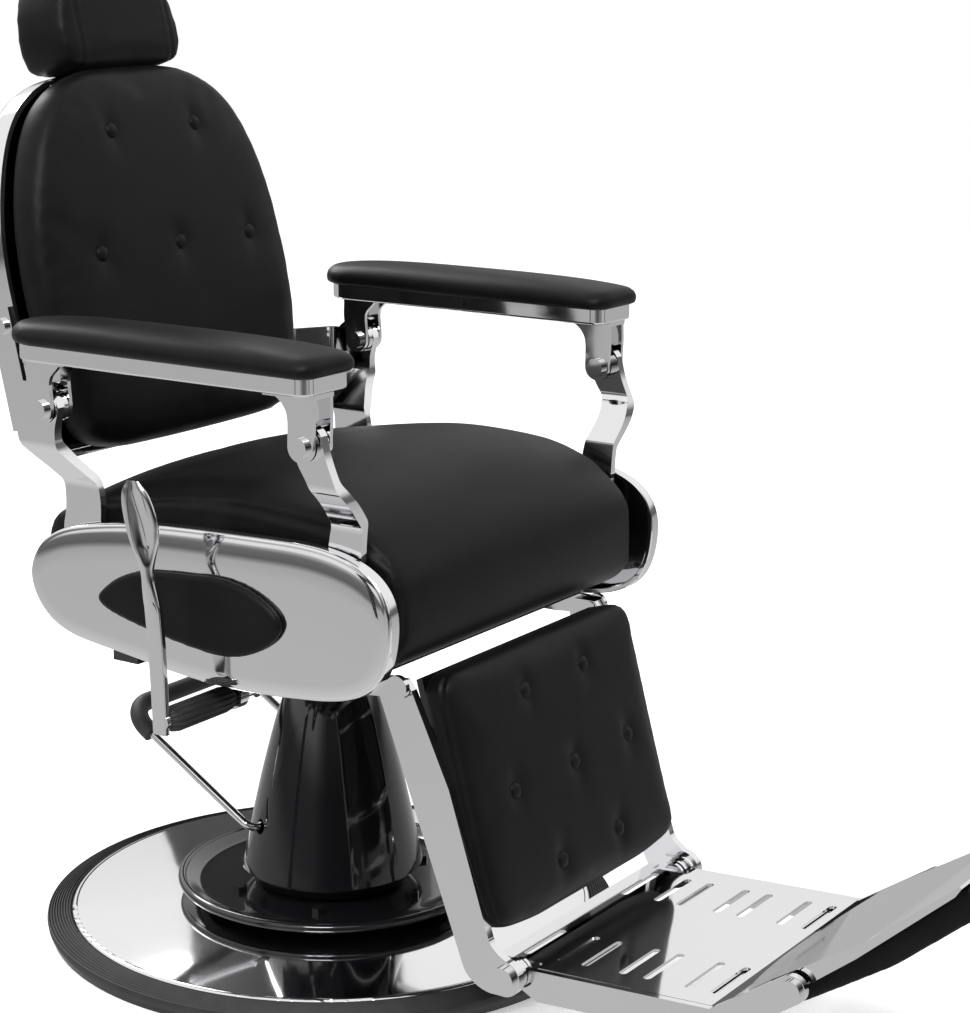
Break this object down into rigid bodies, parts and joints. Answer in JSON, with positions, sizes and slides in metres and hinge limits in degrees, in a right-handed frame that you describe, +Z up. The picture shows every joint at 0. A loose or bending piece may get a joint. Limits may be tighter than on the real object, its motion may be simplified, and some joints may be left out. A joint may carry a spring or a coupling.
{
  "type": "hydraulic barber chair",
  "caption": "Barber chair on a round hydraulic pump base, with tufted back and calf rest, coupled recline, sliding headrest, folding footrest and flip-over kick plate.",
  "frame": {"origin": "centre of the round base, on the floor", "axes": "+Z up, the sitter faces -Y, the sitter's right side with the recline lever is -X"},
  "size_m": [0.68, 1.2881, 1.138],
  "materials": {
    "chrome": "mirror polished",
    "upholstery": "fine grain, satin",
    "black_rubber": "matt, ribbed",
    "gloss_black_shell": "high gloss",
    "black_enamel": "gloss black"
  },
  "bodies": {
    "pedestal": {"base_underplate": "black_enamel", "base_rubber_ring": "black_rubber", "base_plate": "chrome", "pump_flange": "black_enamel", "flange_bolts": "black_enamel", "pump_neck": "black_enamel", "pump_cylinder": "black_enamel", "pump_gland": "black_rubber", "pedal_pivot_block": "black_enamel", "pump_cover_front": "gloss_black_shell", "pump_cover_rear": "gloss_black_shell"},
    "ram": {"lift_ram": "chrome"},
    "pedal": {"pedal_bar": "chrome", "pedal_grip": "black_rubber"},
    "seat": {"swivel_hub": "black_enamel", "seat_frame": "black_enamel", "seat_board": "black_enamel", "seat_cushion": "upholstery", "side_frames": "chrome", "post_pivot_bolts": "chrome", "side_panel_left": "chrome", "side_panel_right": "chrome", "side_pad_left": "upholstery", "side_pad_right": "upholstery", "legrest_hangers": "chrome", "lever_bearing": "black_enamel", "recline_lock": "black_enamel"},
    "recline_lever": {"lever_bar": "chrome", "lever_shaft": "chrome", "lever_foot_grip": "black_rubber"},
    "backrest": {"rear_post_left": "chrome", "rear_post_right": "chrome", "backrest_pad": "upholstery", "backrest_buttons": "upholstery", "backrest_shell": "chrome", "back_straps": "chrome", "strap_bolts": "chrome", "headrest_guide": "black_enamel"},
    "headrest": {"headrest_bar": "chrome", "headrest_pad": "upholstery"},
    "armrest_left": {"arm_band_left": "chrome", "arm_pad_left": "upholstery", "arm_clevises_left": "chrome", "arm_bolts_left": "chrome"},
    "armrest_right": {"arm_band_right": "chrome", "arm_pad_right": "upholstery", "arm_clevises_right": "chrome", "arm_bolts_right": "chrome"},
    "front_link_left": {"front_post_left": "chrome"},
    "front_link_right": {"front_post_right": "chrome"},
    "legrest": {"legrest_frame": "chrome", "footrest_pivot_bolts": "chrome", "calf_board": "black_enamel", "calf_pad": "upholstery", "calf_buttons": "upholstery"},
    "footrest": {"footrest_plate": "chrome", "footrest_frame": "chrome", "kick_pivot_bolts": "chrome"},
    "kick": {"kick_plate": "chrome", "kick_pad": "upholstery"}
  },
  "joints": [
    {"name": "lift", "type": "slide", "parent": "pedestal", "child": "ram", "axis": [0, 0, 1], "range_m": [0, 0.15]},
    {"name": "seat_swivel", "type": "hinge", "parent": "ram", "child": "seat", "pos_m": [0, 0, 0.34], "axis": [0, 0, 1], "continuous": true},
    {"name": "pump_pedal", "type": "hinge", "parent": "pedestal", "child": "pedal", "pos_m": [0, 0.038, 0.13], "axis": [-1, 0, 0], "range_deg": [0, 22], "stiffness_Nm_per_rad": 6, "springref_deg": -28.65},
    {"name": "recline_release", "type": "hinge", "parent": "seat", "child": "recline_lever", "pos_m": [-0.33, -0.028, 0.335], "axis": [1, 0, 0], "range_deg": [-12, 12], "stiffness_Nm_per_rad": 8},
    {"name": "recline", "type": "hinge", "parent": "seat", "child": "backrest", "pos_m": [0, 0.153, 0.48], "axis": [-1, 0, 0], "range_deg": [0, 38]},
    {"name": "headrest_height", "type": "slide", "parent": "backrest", "child": "headrest", "axis": [0, 0.2368, 0.9715], "range_m": [0, 0.09]},
    {"name": "armrest_left_level", "type": "hinge", "parent": "backrest", "child": "armrest_left", "pos_m": [0.29, 0.161, 0.65], "axis": [-1, 0, 0], "range_deg": [-38, 0]},
    {"name": "armrest_right_level", "type": "hinge", "parent": "backrest", "child": "armrest_right", "pos_m": [-0.29, 0.161, 0.65], "axis": [-1, 0, 0], "range_deg": [-38, 0]},
    {"name": "front_post_left_lean", "type": "hinge", "parent": "seat", "child": "front_link_left", "pos_m": [0.25, -0.205, 0.48], "axis": [-1, 0, 0], "range_deg": [0, 38]},
    {"name": "front_post_right_lean", "type": "hinge", "parent": "seat", "child": "front_link_right", "pos_m": [-0.25, -0.205, 0.48], "axis": [-1, 0, 0], "range_deg": [0, 38]},
    {"name": "legrest_swing", "type": "hinge", "parent": "seat", "child": "legrest", "pos_m": [0, -0.244, 0.38], "axis": [-1, 0, 0], "range_deg": [0, 30.4]},
    {"name": "footrest_fold", "type": "hinge", "parent": "legrest", "child": "footrest", "pos_m": [0, -0.377, 0.082], "axis": [-1, 0, 0], "range_deg": [0, 52]},
    {"name": "kick_plate_flip", "type": "hinge", "parent": "footrest", "child": "kick", "pos_m": [0, -0.7, 0.145], "axis": [-1, 0, 0], "range_deg": [0, 130]}
  ],
  "couplings": [
    {"joint": "armrest_left_level", "follows": "recline", "ratio": -1},
    {"joint": "armrest_right_level", "follows": "recline", "ratio": -1},
    {"joint": "front_post_left_lean", "follows": "recline", "ratio": 1},
    {"joint": "front_post_right_lean", "follows": "recline", "ratio": 1},
    {"joint": "legrest_swing", "follows": "recline", "ratio": 0.8}
  ]
}
